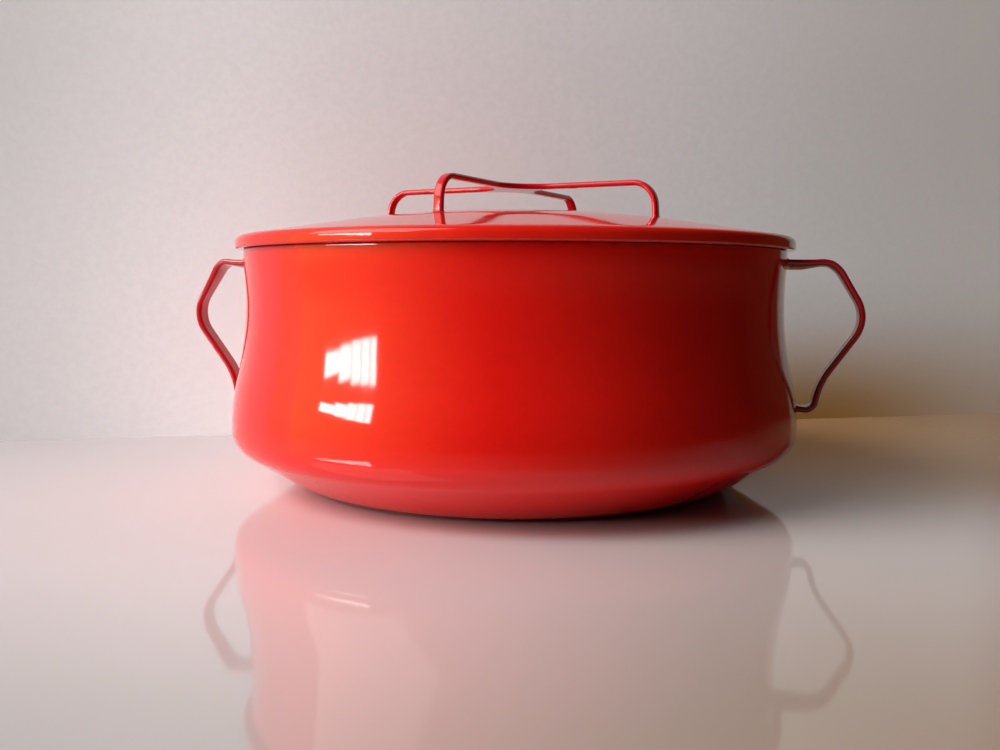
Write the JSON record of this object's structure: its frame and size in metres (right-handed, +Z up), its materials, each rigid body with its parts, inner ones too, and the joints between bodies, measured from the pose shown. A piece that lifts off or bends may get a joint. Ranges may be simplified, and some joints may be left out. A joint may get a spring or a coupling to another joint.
{
  "type": "casserole",
  "caption": "Low enamelled sheet-steel casserole with a waisted side, two strap handles and a domed lid whose four-legged cross doubles as a trivet.",
  "frame": {"origin": "centre of the standing ring, on the surface the pan stands on", "axes": "+X through the right-hand side handle, +Z up along the pan's axis"},
  "size_m": [0.3088, 0.2532, 0.1341],
  "materials": {
    "pan_enamel": "glossy red vitreous enamel on pressed sheet steel",
    "handle_enamel": "glossy red vitreous enamel on bent steel strap",
    "lid_enamel": "glossy red vitreous enamel on pressed sheet steel",
    "cross_enamel": "glossy red vitreous enamel on stamped steel",
    "white_enamel": "glossy white vitreous enamel"
  },
  "bodies": {
    "pan": {"pan": "pan_enamel", "pan_lining": "white_enamel", "right_handle": "handle_enamel", "left_handle": "handle_enamel", "handle_top_welds": "handle_enamel", "handle_foot_welds": "handle_enamel"},
    "lid": {"lid": "lid_enamel", "lid_lining": "white_enamel", "locating_ring": "white_enamel", "lid_cross": "cross_enamel", "lid_cross_welds": "cross_enamel"}
  },
  "joints": [
    {"name": "lid_lift", "type": "slide", "parent": "pan", "child": "lid", "axis": [0, 0, 1], "range_m": [0, 0.12]}
  ]
}
